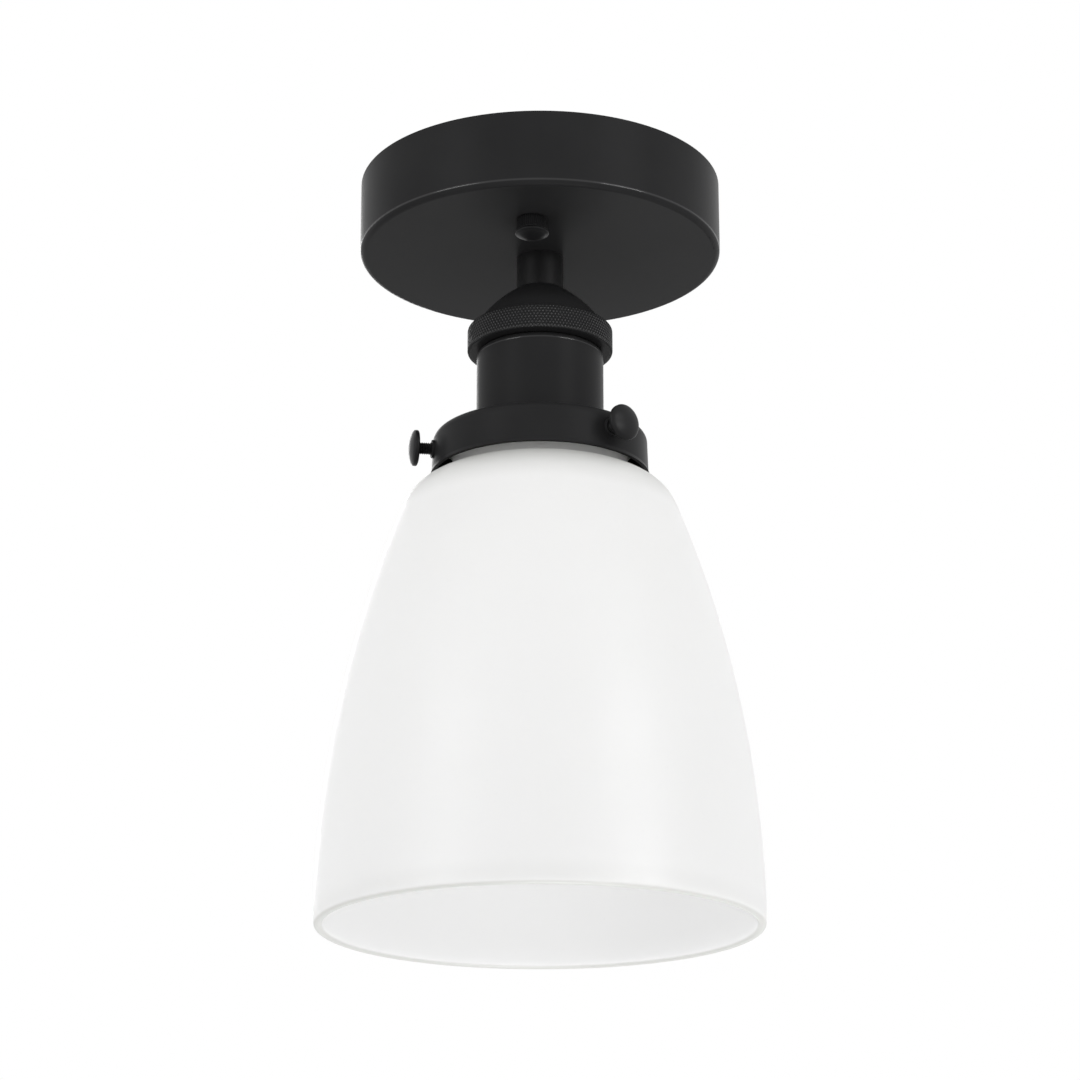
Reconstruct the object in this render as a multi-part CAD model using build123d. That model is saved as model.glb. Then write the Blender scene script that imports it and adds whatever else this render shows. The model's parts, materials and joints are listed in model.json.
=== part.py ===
from build123d import *
import os
from math import sqrt

# Semi-flush ceiling light: a round canopy, a short stem, a lamp socket in a metal cup
# and an opal glass bell that hangs on three thumb screws.
# Millimetres. The ceiling is the plane z = 0, and the light hangs below it on the Z axis.

# Clearances
thread_clearance = 0.05  # radial play of a screw in its thread, both drawn as plain cylinders
slip_clearance = 0.10    # radial play of pieces that slide into each other
hole_clearance = 0.25    # radial play of a screw in a plain hole
touch_gap = 0.30         # gap left where a loose piece lightly touches its neighbour

# Canopy
canopy_diameter = 120.0
canopy_height = 25.3
canopy_wall = 1.2
canopy_edge_radius = 2.0

# Mounting bar, a flat bar whose middle is cranked down from the ceiling
bar_length = 107.0
bar_width = 22.0
bar_thickness = 1.8
bar_drop = 4.0
bar_middle_length = 74.0
bar_crank_run = 3.0
bar_bend_radius = 1.6
bar_corner_radius = 4.0
slot_spacing = 89.0
slot_length = 10.0
slot_width = 5.0
wire_hole_diameter = 13.0

# Studs, their lock nuts and the earth screw
stud_spacing = 65.0
stud_diameter = 4.0
stud_reach = 4.2         # length of stud below the canopy
stud_head_diameter = 7.6
stud_head_height = 2.6
stud_nut_flats = 7.0
stud_nut_height = 3.2
ground_screw_offset = 18.0
ground_screw_length = 3.4

# Cap nuts under the canopy
cap_nut_diameter = 10.0
cap_nut_barrel_height = 4.3
cap_nut_bead_diameter = 11.0
cap_nut_bead_height = 1.1
cap_nut_dome_height = 1.5
cap_nut_bore_depth = 5.0

# Threaded nipple, its washer and its two nuts
nipple_diameter = 10.0
nipple_bore = 7.4
nipple_top_reach = 2.4   # length of nipple past the upper nut
nipple_bottom_reach = 2.0
nipple_nut_flats = 14.0
nipple_nut_height = 4.0
washer_diameter = 18.0
washer_thickness = 0.8
washer_tooth_count = 12
washer_tooth_depth = 2.0
washer_tooth_gap = 1.2

# Stem sleeve
stem_diameter = 15.5
stem_length = 11.6

# Socket cap: a domed top and a collar
dome_height = 13.8
dome_base_diameter = 43.5
dome_arc_radius = 47.0
cap_wall = 2.0
collar_diameter = 48.0
collar_height = 8.5
collar_top_radius = 1.4
collar_edge_radius = 0.6

# Socket cup
cup_diameter = 41.8
cup_height = 29.4
cup_wall = 1.0
cup_edge_radius = 2.0

# Strap that hangs the insulator from the nipple
strap_width = 12.0
strap_thickness = 1.2
strap_span = 29.0
strap_height = 11.4
strap_foot_length = 8.0
strap_bend_radius = 1.4
strap_screw_spacing = 18.5
strap_screw_diameter = 3.0
strap_screw_length = 5.2
small_head_diameter = 5.6
small_head_height = 2.0

# Lamp socket
insulator_diameter = 36.0
insulator_length = 30.0
insulator_floor = 6.0
contact_well_diameter = 23.0
contact_well_depth = 4.0
shell_bore = 26.6
shell_wall = 0.5
shell_length = 19.0
contact_width = 6.0
contact_thickness = 0.6
contact_base_length = 8.0
contact_tongue_length = 8.4
contact_tongue_drop = 2.6
contact_bend_radius = 1.0
terminal_screw_diameter = 3.0
live_screw_offset = 5.5
neutral_screw_offset = 14.6
live_screw_end = 0.6     # length of the live screw past the contact

# Ring that clamps the shade holder to the insulator
ring_diameter = 47.0
ring_height = 4.0
ring_notch_count = 16
ring_notch_radius = 1.3

# Shade holder
holder_top_diameter = 70.0
holder_bottom_diameter = 70.8
holder_height = 14.0
holder_wall = 1.2
holder_edge_radius = 2.8
holder_flare = 0.4
holder_flare_height = 1.2
boss_diameter = 7.0
boss_reach = 2.0         # depth of each boss inside the holder's wall

# Thumb screws
thumb_screw_angles = {"left": 195.0, "front": 315.0, "rear": 75.0}
thumb_screw_drop = 6.4   # depth of the screws' axes below the holder's top
thumb_shank_diameter = 4.0
thumb_screw_standoff = 5.1  # length of shank seen outside the holder
thumb_head_diameter = 11.8
thumb_head_rim = 1.4
thumb_head_dome = 1.5
thumb_edge_radius = 0.6

# Glass bell
rim_diameter = 141.0
bell_height = 145.6
bell_wall_radius = 370.0
shoulder_radius = 15.4
shoulder_drop = 1.8      # depth of the shoulder below the holder's lower edge
neck_fillet_radius = 1.2
glass_thickness = 3.0
lip_overhang = 3.1       # width of the lip past the neck
lip_height = 2.2
lip_edge_radius = 0.8

# Radii worked out from the diameters
canopy_radius = canopy_diameter / 2
stud_radius = stud_diameter / 2
nipple_radius = nipple_diameter / 2
stem_radius = stem_diameter / 2
dome_base_radius = dome_base_diameter / 2
collar_radius = collar_diameter / 2
cup_radius = cup_diameter / 2
insulator_radius = insulator_diameter / 2
shell_inner_radius = shell_bore / 2
shell_outer_radius = shell_inner_radius + shell_wall
ring_radius = ring_diameter / 2
holder_top_radius = holder_top_diameter / 2
holder_bottom_radius = holder_bottom_diameter / 2
thumb_shank_radius = thumb_shank_diameter / 2
rim_radius = rim_diameter / 2
nipple_hole_radius = nipple_radius + slip_clearance

# Levels, from the ceiling down
bar_middle_top = -bar_drop
bar_middle_bottom = bar_middle_top - bar_thickness
canopy_bottom = -canopy_height
canopy_floor = canopy_bottom + canopy_wall
stud_end = canopy_bottom - stud_reach
cap_top = canopy_bottom - stem_length
collar_top = cap_top - dome_height
collar_bottom = collar_top - collar_height
strap_top = collar_bottom - cup_wall
insulator_top = strap_top - strap_height
contact_floor = insulator_top - insulator_floor
shell_top = contact_floor - contact_well_depth
insulator_bottom = insulator_top - insulator_length
holder_top = collar_bottom - cup_height
holder_plate_bottom = holder_top - holder_wall
holder_bottom = holder_top - holder_height
holder_flare_level = holder_bottom + holder_flare_height
thumb_screw_level = holder_top - thumb_screw_drop
lip_bottom = thumb_screw_level + thumb_shank_radius + touch_gap
lip_top = lip_bottom + lip_height
shoulder_level = holder_bottom - shoulder_drop
rim_level = shoulder_level - bell_height

# Radii that follow the holder's sloping wall at the thumb screws
holder_slope = (holder_bottom_radius - holder_top_radius) / (holder_top - holder_flare_level)
screw_wall_radius = holder_top_radius + holder_slope * thumb_screw_drop
boss_inner_radius = screw_wall_radius - holder_wall - boss_reach
lip_radius = boss_inner_radius - touch_gap
neck_radius = lip_radius - lip_overhang
thumb_seat_radius = screw_wall_radius + thumb_screw_standoff
thumb_shank_length = thumb_seat_radius - neck_radius - touch_gap

BASE = (Align.CENTER, Align.CENTER, Align.MIN)
HANG = (Align.CENTER, Align.CENTER, Align.MAX)


# Shared shapes

def spin(*curves):
    """Turn the closed outline made by these curves, drawn as (radius, height), about Z."""
    return revolve(Plane.XZ * make_face(Curve() + list(curves)), Axis.Z)


def dome_radius(base_radius, height):
    """Radius of the ball that a shallow dome is cut from."""
    return (base_radius ** 2 + height ** 2) / (2 * height)


def post(radius, top, bottom):
    """Upright cylinder on the Z axis between two levels."""
    return Pos(0, 0, bottom) * Cylinder(radius, top - bottom, align=BASE)


def bent_strip(points, bend_radius, thickness, width, plane):
    """Flat strip of even thickness whose middle line follows points in the given plane."""
    path = FilletPolyline(*points, radius=bend_radius)
    return extrude(plane * trace(path, thickness), amount=width / 2, both=True)


def pan_screw(shank_diameter, shank_length, head_diameter, head_height):
    """Screw with a rounded head, its seat at the origin and its shank pointing down."""
    head = Cylinder(head_diameter / 2, head_height, align=BASE)
    head = fillet(head.edges().group_by(Axis.Z)[-1], head_height * 0.6)
    return head + Cylinder(shank_diameter / 2, shank_length, align=HANG)


def hex_nut(flats, height, bore_radius):
    """Hex nut with turned-down corners, standing on the origin."""
    hexagon = RegularPolygon(flats / 2, 6, major_radius=False)
    corner_radius = flats / sqrt(3)
    corner_cut = corner_radius - flats / 2
    turned = Cylinder(corner_radius, height, align=BASE)
    turned = chamfer(turned.edges().filter_by(GeomType.CIRCLE), corner_cut * 0.5, corner_cut * 0.9)
    return (extrude(hexagon, height) & turned) - Cylinder(bore_radius, height, align=BASE)


def pair_on_y(shape, spacing):
    """Two copies of a shape, set apart along Y."""
    return [Pos(0, side * spacing / 2, 0) * shape for side in (-1, 1)]


# Ceiling side

def make_mounting_bar():
    half_thickness = bar_thickness / 2
    foot = bar_middle_length / 2 + bar_crank_run
    middle = bar_middle_length / 2
    points = [
        (-bar_length / 2, -half_thickness),
        (-foot, -half_thickness),
        (-middle, bar_middle_top - half_thickness),
        (middle, bar_middle_top - half_thickness),
        (foot, -half_thickness),
        (bar_length / 2, -half_thickness),
    ]
    bar = bent_strip(points, bar_bend_radius, bar_thickness, bar_width, Plane.YZ)
    bar = fillet(bar.edges().filter_by(Axis.Z), bar_corner_radius)
    through = bar_drop + bar_thickness
    slot = extrude(Rot(0, 0, 90) * SlotOverall(slot_length, slot_width), -through)
    bar -= pair_on_y(slot, slot_spacing)
    bar -= pair_on_y(Cylinder(stud_radius + thread_clearance, through, align=HANG), stud_spacing)
    bar -= Cylinder(wire_hole_diameter / 2, through, align=HANG)
    earth_hole = Cylinder(stud_radius + thread_clearance, through, align=HANG)
    return bar - Pos(0, ground_screw_offset, 0) * earth_hole


def make_canopy_studs():
    length = bar_middle_top - stud_end
    stud = pan_screw(stud_diameter, length, stud_head_diameter, stud_head_height)
    return Compound(pair_on_y(Pos(0, 0, bar_middle_top) * stud, stud_spacing))


def make_stud_lock_nuts():
    nut = hex_nut(stud_nut_flats, stud_nut_height, stud_radius + thread_clearance)
    return Compound(pair_on_y(Pos(0, 0, bar_middle_bottom - stud_nut_height) * nut, stud_spacing))


def make_ground_screw():
    screw = pan_screw(stud_diameter, ground_screw_length, stud_head_diameter, stud_head_height)
    return Pos(0, ground_screw_offset, bar_middle_bottom) * Rot(180, 0, 0) * screw


def make_canopy():
    outer = FilletPolyline(
        (0, canopy_bottom), (canopy_radius, canopy_bottom), (canopy_radius, 0),
        radius=canopy_edge_radius)
    inner_radius = canopy_radius - canopy_wall
    inner = FilletPolyline(
        (0, canopy_floor), (inner_radius, canopy_floor), (inner_radius, 0),
        radius=canopy_edge_radius - canopy_wall)
    canopy = spin(outer, Line(outer @ 1, inner @ 1), inner, Line(inner @ 0, outer @ 0))
    canopy -= post(nipple_hole_radius, canopy_floor, canopy_bottom)
    stud_hole = post(stud_radius + hole_clearance, canopy_floor, canopy_bottom)
    return canopy - pair_on_y(stud_hole, stud_spacing)


def make_cap_nut(side):
    """Cap nut under the canopy on the front (-1) or rear (+1) stud."""
    barrel_radius = cap_nut_diameter / 2
    bead_radius = cap_nut_bead_diameter / 2
    barrel_end = canopy_bottom - cap_nut_barrel_height
    bead_end = barrel_end - cap_nut_bead_height
    tip = bead_end - cap_nut_dome_height
    walls = Polyline((0, tip), (0, canopy_bottom), (barrel_radius, canopy_bottom),
                     (barrel_radius, barrel_end))
    bead = ThreePointArc((barrel_radius, barrel_end), (bead_radius, (barrel_end + bead_end) / 2),
                         (barrel_radius, bead_end))
    dome = RadiusArc((barrel_radius, bead_end), (0, tip), dome_radius(barrel_radius, cap_nut_dome_height))
    nut = spin(walls, bead, dome)
    nut -= post(stud_radius + slip_clearance, canopy_bottom, canopy_bottom - cap_nut_bore_depth)
    return Pos(0, side * stud_spacing / 2, 0) * nut


# Stem and nipple

nipple_top = canopy_floor + washer_thickness + nipple_nut_height + nipple_top_reach
bottom_nut_top = strap_top - strap_thickness
bottom_nut_bottom = bottom_nut_top - nipple_nut_height
nipple_end = bottom_nut_bottom - nipple_bottom_reach


def make_nipple():
    bore = post(nipple_bore / 2, nipple_top, nipple_end)
    return post(nipple_radius, nipple_top, nipple_end) - bore


def make_lock_washer():
    washer_radius = washer_diameter / 2
    ring = post(washer_radius, canopy_floor + washer_thickness, canopy_floor)
    ring -= post(nipple_hole_radius, canopy_floor + washer_thickness, canopy_floor)
    gap = Pos(washer_radius, 0, canopy_floor) * Box(
        2 * washer_tooth_depth, washer_tooth_gap, washer_thickness, align=BASE)
    return ring - [spot * gap for spot in PolarLocations(0, washer_tooth_count)]


def make_nipple_nut(bottom):
    return Pos(0, 0, bottom) * hex_nut(nipple_nut_flats, nipple_nut_height,
                                       nipple_radius + thread_clearance)


def make_stem_sleeve():
    return post(stem_radius, canopy_bottom, cap_top) - post(nipple_hole_radius, canopy_bottom, cap_top)


# Socket housing

def make_socket_cap():
    dome = RadiusArc((stem_radius, cap_top), (dome_base_radius, collar_top), dome_arc_radius)
    collar_middle = (collar_radius, (collar_top + collar_bottom) / 2)
    seat_radius = dome_base_radius - 2 * cap_wall
    upper = FilletPolyline(
        dome @ 1, (collar_radius, collar_top), collar_middle, radius=collar_top_radius)
    lower = FilletPolyline(
        collar_middle, (collar_radius, collar_bottom), (seat_radius, collar_bottom),
        radius=collar_edge_radius)
    inside = Polyline(
        lower @ 1, (seat_radius, collar_top), (stem_radius, cap_top - 2 * cap_wall),
        (nipple_hole_radius, cap_top - 2 * cap_wall), (nipple_hole_radius, cap_top),
        (stem_radius, cap_top))
    return spin(dome, upper, lower, inside)


def make_socket_body():
    inner_radius = cup_radius - cup_wall
    outer = FilletPolyline(
        (nipple_hole_radius, collar_bottom), (cup_radius, collar_bottom), (cup_radius, holder_top),
        radius=cup_edge_radius)
    inner = FilletPolyline(
        (nipple_hole_radius, strap_top), (inner_radius, strap_top), (inner_radius, holder_top),
        radius=cup_edge_radius - cup_wall)
    return spin(outer, Line(outer @ 1, inner @ 1), inner, Line(inner @ 0, outer @ 0))


def make_socket_strap():
    half_span = strap_span / 2 - strap_thickness / 2
    top = strap_top - strap_thickness / 2
    bottom = insulator_top + strap_thickness / 2
    points = [
        (-half_span + strap_foot_length, bottom), (-half_span, bottom), (-half_span, top),
        (half_span, top), (half_span, bottom), (half_span - strap_foot_length, bottom),
    ]
    strap = bent_strip(points, strap_bend_radius, strap_thickness, strap_width, Plane.XZ)
    strap -= post(nipple_hole_radius, strap_top, strap_top - strap_thickness)
    hole = post(strap_screw_diameter / 2 + hole_clearance, insulator_top + strap_thickness, insulator_top)
    return strap - [Pos(side * strap_screw_spacing / 2, 0, 0) * hole for side in (-1, 1)]


def make_strap_screws():
    screw = pan_screw(strap_screw_diameter, strap_screw_length, small_head_diameter, small_head_height)
    level = insulator_top + strap_thickness
    return Compound([Pos(side * strap_screw_spacing / 2, 0, level) * screw for side in (-1, 1)])


# Lamp socket

def make_socket_insulator():
    body = post(insulator_radius, insulator_top, insulator_bottom)
    body -= post(shell_outer_radius + thread_clearance, shell_top, insulator_bottom)
    body -= post(contact_well_diameter / 2, contact_floor, shell_top)
    strap_hole = post(strap_screw_diameter / 2 + thread_clearance, insulator_top,
                      insulator_top + strap_thickness - strap_screw_length)
    body -= [Pos(side * strap_screw_spacing / 2, 0, 0) * strap_hole for side in (-1, 1)]
    terminal_radius = terminal_screw_diameter / 2 + thread_clearance
    body -= Pos(0, live_screw_offset, 0) * post(terminal_radius, insulator_top, contact_floor)
    return body - Pos(0, -neutral_screw_offset, 0) * post(terminal_radius, insulator_top, shell_top)


def make_screw_shell():
    bottom = shell_top - shell_length
    return post(shell_outer_radius, shell_top, bottom) - post(shell_inner_radius, shell_top, bottom)


def make_centre_contact():
    level = contact_floor - contact_thickness / 2
    base_start = live_screw_offset + contact_base_length / 2
    bend = live_screw_offset - contact_base_length / 2
    tip = bend - contact_tongue_length
    points = [(base_start, level), (bend, level), (tip, level - contact_tongue_drop)]
    strip = bent_strip(points, contact_bend_radius, contact_thickness, contact_width, Plane.YZ)
    hole = post(terminal_screw_diameter / 2 + slip_clearance, contact_floor,
                contact_floor - contact_thickness)
    return strip - Pos(0, live_screw_offset, 0) * hole


def make_terminal_screws():
    live_length = insulator_floor + contact_thickness + live_screw_end
    neutral_length = insulator_top - shell_top
    live = pan_screw(terminal_screw_diameter, live_length, small_head_diameter, small_head_height)
    neutral = pan_screw(terminal_screw_diameter, neutral_length, small_head_diameter, small_head_height)
    return Compound([Pos(0, live_screw_offset, insulator_top) * live,
                     Pos(0, -neutral_screw_offset, insulator_top) * neutral])


def make_retaining_ring():
    bottom = holder_plate_bottom - ring_height
    ring = post(ring_radius, holder_plate_bottom, bottom)
    ring -= post(insulator_radius + thread_clearance, holder_plate_bottom, bottom)
    notch = post(ring_notch_radius, holder_plate_bottom, bottom)
    return ring - [spot * notch for spot in PolarLocations(ring_radius, ring_notch_count)]


# Shade holder and thumb screws

def radial(angle, radius):
    """Place on a thumb screw's axis, with local Z pointing out from the light's axis."""
    return Rot(0, 0, angle) * Pos(radius, 0, thumb_screw_level) * Rot(0, 90, 0)


def make_shade_holder():
    hole_radius = insulator_radius + slip_clearance
    outer = FilletPolyline(
        (hole_radius, holder_top), (holder_top_radius, holder_top),
        (holder_bottom_radius, holder_flare_level), radius=holder_edge_radius)
    lower = Polyline(
        (holder_bottom_radius, holder_flare_level),
        (holder_bottom_radius + holder_flare, holder_bottom),
        (holder_bottom_radius + holder_flare - holder_wall, holder_bottom),
        (holder_bottom_radius - holder_wall, holder_flare_level))
    inner = FilletPolyline(
        (hole_radius, holder_plate_bottom), (holder_top_radius - holder_wall, holder_plate_bottom),
        (holder_bottom_radius - holder_wall, holder_flare_level),
        radius=holder_edge_radius - holder_wall)
    holder = spin(outer, lower, inner, Line(inner @ 0, outer @ 0))
    half_wall = holder_wall / 2
    to_middle_of_wall = spin(Polyline(
        (hole_radius, holder_top), (holder_top_radius - half_wall, holder_top),
        (holder_bottom_radius - half_wall, holder_flare_level), (hole_radius, holder_flare_level),
        close=True))
    boss = Cylinder(boss_diameter / 2, boss_reach + 2 * holder_wall, align=BASE)
    screw_hole = Cylinder(thumb_shank_radius + thread_clearance, thumb_seat_radius - neck_radius,
                          align=BASE)
    for angle in thumb_screw_angles.values():
        holder += (radial(angle, boss_inner_radius) * boss) & to_middle_of_wall
        holder -= radial(angle, neck_radius) * screw_hole
    return holder


def make_thumb_screw(angle):
    head_radius = thumb_head_diameter / 2
    thickness = thumb_head_rim + thumb_head_dome
    side = Polyline((0, thickness), (0, 0), (head_radius, 0), (head_radius, thumb_head_rim))
    dome = RadiusArc((head_radius, thumb_head_rim), (0, thickness),
                     -dome_radius(head_radius, thumb_head_dome))
    head = spin(side, dome)
    head = fillet(head.edges().filter_by(GeomType.CIRCLE), thumb_edge_radius)
    screw = head + Cylinder(thumb_shank_radius, thumb_shank_length, align=HANG)
    return radial(angle, thumb_seat_radius) * screw


# Glass bell: a sweeping wall, a tight shoulder and a fillet into the neck, all tangent

bell_centre = (rim_radius - bell_wall_radius, rim_level)
shoulder_centre_level = shoulder_level - shoulder_radius
shoulder_rise = shoulder_centre_level - rim_level
shoulder_centre = (
    bell_centre[0] + sqrt((bell_wall_radius - shoulder_radius) ** 2 - shoulder_rise ** 2),
    shoulder_centre_level)
fillet_offset = neck_radius + neck_fillet_radius - shoulder_centre[0]
fillet_centre = (
    neck_radius + neck_fillet_radius,
    shoulder_centre_level + sqrt((shoulder_radius + neck_fillet_radius) ** 2 - fillet_offset ** 2))


def toward(start, end, distance):
    """Point at a distance from start on the line through end."""
    run = Vector(*end) - Vector(*start)
    return Vector(*start) + run.normalized() * distance


def bell_side(inset):
    """The bell's side, from the rim to the top of the neck, inset from the outer face."""
    wall_radius = bell_wall_radius - inset
    turn_radius = shoulder_radius - inset
    hollow_radius = neck_fillet_radius + inset
    wall_start = (bell_centre[0] + wall_radius, rim_level)
    wall_end = toward(bell_centre, shoulder_centre, wall_radius)
    turn_end = toward(shoulder_centre, fillet_centre, turn_radius)
    neck_start = (fillet_centre[0] - hollow_radius, fillet_centre[1])
    wall = RadiusArc(wall_start, wall_end, -wall_radius)
    turn = RadiusArc(wall_end, turn_end, -turn_radius)
    hollow = RadiusArc(turn_end, neck_start, hollow_radius)
    return [wall, turn, hollow]


def make_glass_shade():
    outer = bell_side(0)
    inner = bell_side(glass_thickness)
    rim_end = outer[0] @ 0
    rim = ThreePointArc(rim_end, (rim_radius - glass_thickness / 2, rim_level - glass_thickness / 2),
                        inner[0] @ 0)
    neck_bore = neck_radius - glass_thickness
    lip = FilletPolyline(
        (neck_radius, lip_bottom), (lip_radius, lip_bottom), (lip_radius, lip_top), (neck_bore, lip_top),
        radius=lip_edge_radius)
    neck = Line(outer[2] @ 1, lip @ 0)
    bore = Line(lip @ 1, inner[2] @ 1)
    return spin(*outer, neck, lip, bore, *inner, rim)


nodes = {
    "mounting_bar": make_mounting_bar(),
    "canopy_studs": make_canopy_studs(),
    "stud_lock_nuts": make_stud_lock_nuts(),
    "ground_screw": make_ground_screw(),
    "canopy": make_canopy(),
    "canopy_nut_front": make_cap_nut(-1),
    "canopy_nut_rear": make_cap_nut(1),
    "nipple": make_nipple(),
    "lock_washer": make_lock_washer(),
    "nipple_top_nut": make_nipple_nut(canopy_floor + washer_thickness),
    "nipple_bottom_nut": make_nipple_nut(bottom_nut_bottom),
    "stem_sleeve": make_stem_sleeve(),
    "socket_cap": make_socket_cap(),
    "socket_body": make_socket_body(),
    "socket_strap": make_socket_strap(),
    "strap_screws": make_strap_screws(),
    "socket_insulator": make_socket_insulator(),
    "screw_shell": make_screw_shell(),
    "centre_contact": make_centre_contact(),
    "terminal_screws": make_terminal_screws(),
    "retaining_ring": make_retaining_ring(),
    "shade_holder": make_shade_holder(),
    "glass_shade": make_glass_shade(),
}
for place, angle in thumb_screw_angles.items():
    nodes["thumb_screw_" + place] = make_thumb_screw(angle)

os.makedirs("parts", exist_ok=True)
for name, shape in nodes.items():
    export_step(shape, f"parts/{name}.step")
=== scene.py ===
"""Dresses the packed ceiling light: coats, opal glass, knurls, threads and a plain studio."""

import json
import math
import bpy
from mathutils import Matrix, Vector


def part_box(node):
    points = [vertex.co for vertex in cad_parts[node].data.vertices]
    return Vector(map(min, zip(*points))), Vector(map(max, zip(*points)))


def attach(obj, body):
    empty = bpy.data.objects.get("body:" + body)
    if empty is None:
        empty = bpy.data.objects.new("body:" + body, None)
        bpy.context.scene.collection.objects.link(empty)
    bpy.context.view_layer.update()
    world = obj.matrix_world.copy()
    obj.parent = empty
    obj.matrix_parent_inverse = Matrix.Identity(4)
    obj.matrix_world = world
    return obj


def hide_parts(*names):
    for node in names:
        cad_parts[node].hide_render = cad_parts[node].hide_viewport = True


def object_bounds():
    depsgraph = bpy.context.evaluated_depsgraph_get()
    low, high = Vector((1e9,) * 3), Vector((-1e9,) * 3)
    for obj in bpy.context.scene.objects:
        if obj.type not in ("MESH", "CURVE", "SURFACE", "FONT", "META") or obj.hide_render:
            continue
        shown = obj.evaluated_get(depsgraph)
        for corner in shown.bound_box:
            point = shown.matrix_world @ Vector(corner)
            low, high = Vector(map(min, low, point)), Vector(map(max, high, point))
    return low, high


bl_info = {
    "name": "Glass Ceiling Light",
    "version": (1, 0, 0),
    "blender": (4, 5, 0),
    "location": "View3D > Sidebar > Ceiling Light",
    "description": "Coats, opal glass, knurls, threads and studio for a semi-flush ceiling light",
    "category": "Object",
}

import bmesh
import bpy
from bpy.props import FloatProperty, FloatVectorProperty, IntProperty, PointerProperty
from mathutils import Matrix, Vector

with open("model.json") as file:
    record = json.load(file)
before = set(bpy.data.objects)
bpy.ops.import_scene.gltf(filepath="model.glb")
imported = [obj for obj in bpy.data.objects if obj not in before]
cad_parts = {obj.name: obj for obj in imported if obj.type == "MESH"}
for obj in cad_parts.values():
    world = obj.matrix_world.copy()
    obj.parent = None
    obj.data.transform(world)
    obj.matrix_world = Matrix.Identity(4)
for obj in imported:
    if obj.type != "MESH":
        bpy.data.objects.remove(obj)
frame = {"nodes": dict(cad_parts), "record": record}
cad_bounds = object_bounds()


# Sizes read from the packed model, in metres

def half_width(node):
    """Half a node's size along X, which is the radius of a turned piece."""
    low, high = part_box(node)
    return (high[0] - low[0]) / 2


def bottom(node):
    """Lowest level of a node."""
    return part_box(node)[0][2]


def top(node):
    """Highest level of a node."""
    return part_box(node)[1][2]


def middle(node):
    """Centre of a node's box."""
    low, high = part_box(node)
    return (Vector(low) + Vector(high)) / 2


# Kinds of setting that a user would change

def size(label, text, default):
    return FloatProperty(name=label, description=text, default=default, min=0.0,
                         subtype="DISTANCE", unit="LENGTH", precision=5)


def count(label, text, default):
    return IntProperty(name=label, description=text, default=default, min=1)


def fraction(label, text, default):
    return FloatProperty(name=label, description=text, default=default, min=0.0, max=1.0,
                         subtype="FACTOR")


def colour(label, text, default):
    return FloatVectorProperty(name=label, description=text, default=default, size=4,
                               min=0.0, max=1.0, subtype="COLOR")


def power(label, text, default):
    return FloatProperty(name=label, description=text, default=default, min=0.0, unit="POWER")


class BellSizes(bpy.types.PropertyGroup):
    """Shape of the opal bell"""

    wall_radius: size("Wall radius", "Radius of the long sweep of the side", 0.370)
    shoulder_radius: size("Shoulder radius", "Radius of the turn at the shoulder", 0.0154)
    shoulder_drop: size("Shoulder drop", "Depth of the shoulder below the holder", 0.0018)
    hollow_radius: size("Hollow radius", "Radius of the hollow under the neck", 0.0012)
    neck_radius: size("Neck radius", "Outer radius of the neck", 0.0286)
    thickness: size("Thickness", "Thickness of the glass", 0.0030)
    lip_overhang: size("Lip overhang", "How far the lip stands out from the neck", 0.0031)
    lip_height: size("Lip height", "Height of the lip", 0.0022)
    lip_round: size("Lip rounding", "Rounding of the lip's edges", 0.0008)
    wobble: fraction("Wobble", "How far the blown wall strays from a true round", 0.0010)


class MetalSizes(bpy.types.PropertyGroup):
    """Shapes of the turned metal pieces"""

    collar_height: size("Collar height", "Height of the socket cap's collar", 0.0085)
    collar_shoulder: size("Collar shoulder", "Rounding of the collar's upper edge", 0.0014)
    collar_round: size("Collar rounding", "Rounding of the collar's lower edge", 0.0006)
    cap_wall: size("Cap wall", "Thickness of the socket cap", 0.0040)
    dome_base: size("Dome base", "Radius of the dome where it meets the collar", 0.02175)
    dome_arc: size("Dome arc", "Radius of the dome's sweep", 0.047)
    nut_barrel: size("Nut barrel", "Height of a cap nut's knurled barrel", 0.0043)
    nut_bead: size("Nut bead", "Height of the bead under the barrel", 0.0011)
    nut_bead_reach: size("Nut bead reach", "How far the bead stands out", 0.0005)
    nut_bore: size("Nut bore", "Radius of a cap nut's bore", 0.0021)
    nut_bore_depth: size("Nut bore depth", "Depth of a cap nut's bore", 0.0050)
    thumb_shank: size("Thumb shank", "Radius of a thumb screw's shank", 0.0020)
    thumb_rim: size("Thumb rim", "Thickness of a thumb screw's head at its edge", 0.0014)
    thumb_dome: size("Thumb dome", "Height of the lens on a thumb screw's head", 0.0015)
    thumb_round: size("Thumb rounding", "Rounding of the head's edges", 0.0006)
    screw_wall: size("Screw wall", "Radius of the holder's wall where the thumb screws enter", 0.0352)
    hole_rim: size("Hole rim", "Outer radius of the raised rim round each thumb screw's hole", 0.0030)
    hole_rim_height: size("Hole rim height", "How far that rim stands out of the wall", 0.0008)
    hole_rim_root: size("Hole rim root", "How far that rim reaches into the wall", 0.0003)
    stud_shank: size("Stud shank", "Radius of the studs and the earth screw", 0.0020)
    pan_height: size("Pan height", "Height of their heads", 0.0026)
    shell_wall: size("Shell wall", "Thickness of the lamp shell with its thread", 0.0005)


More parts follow.
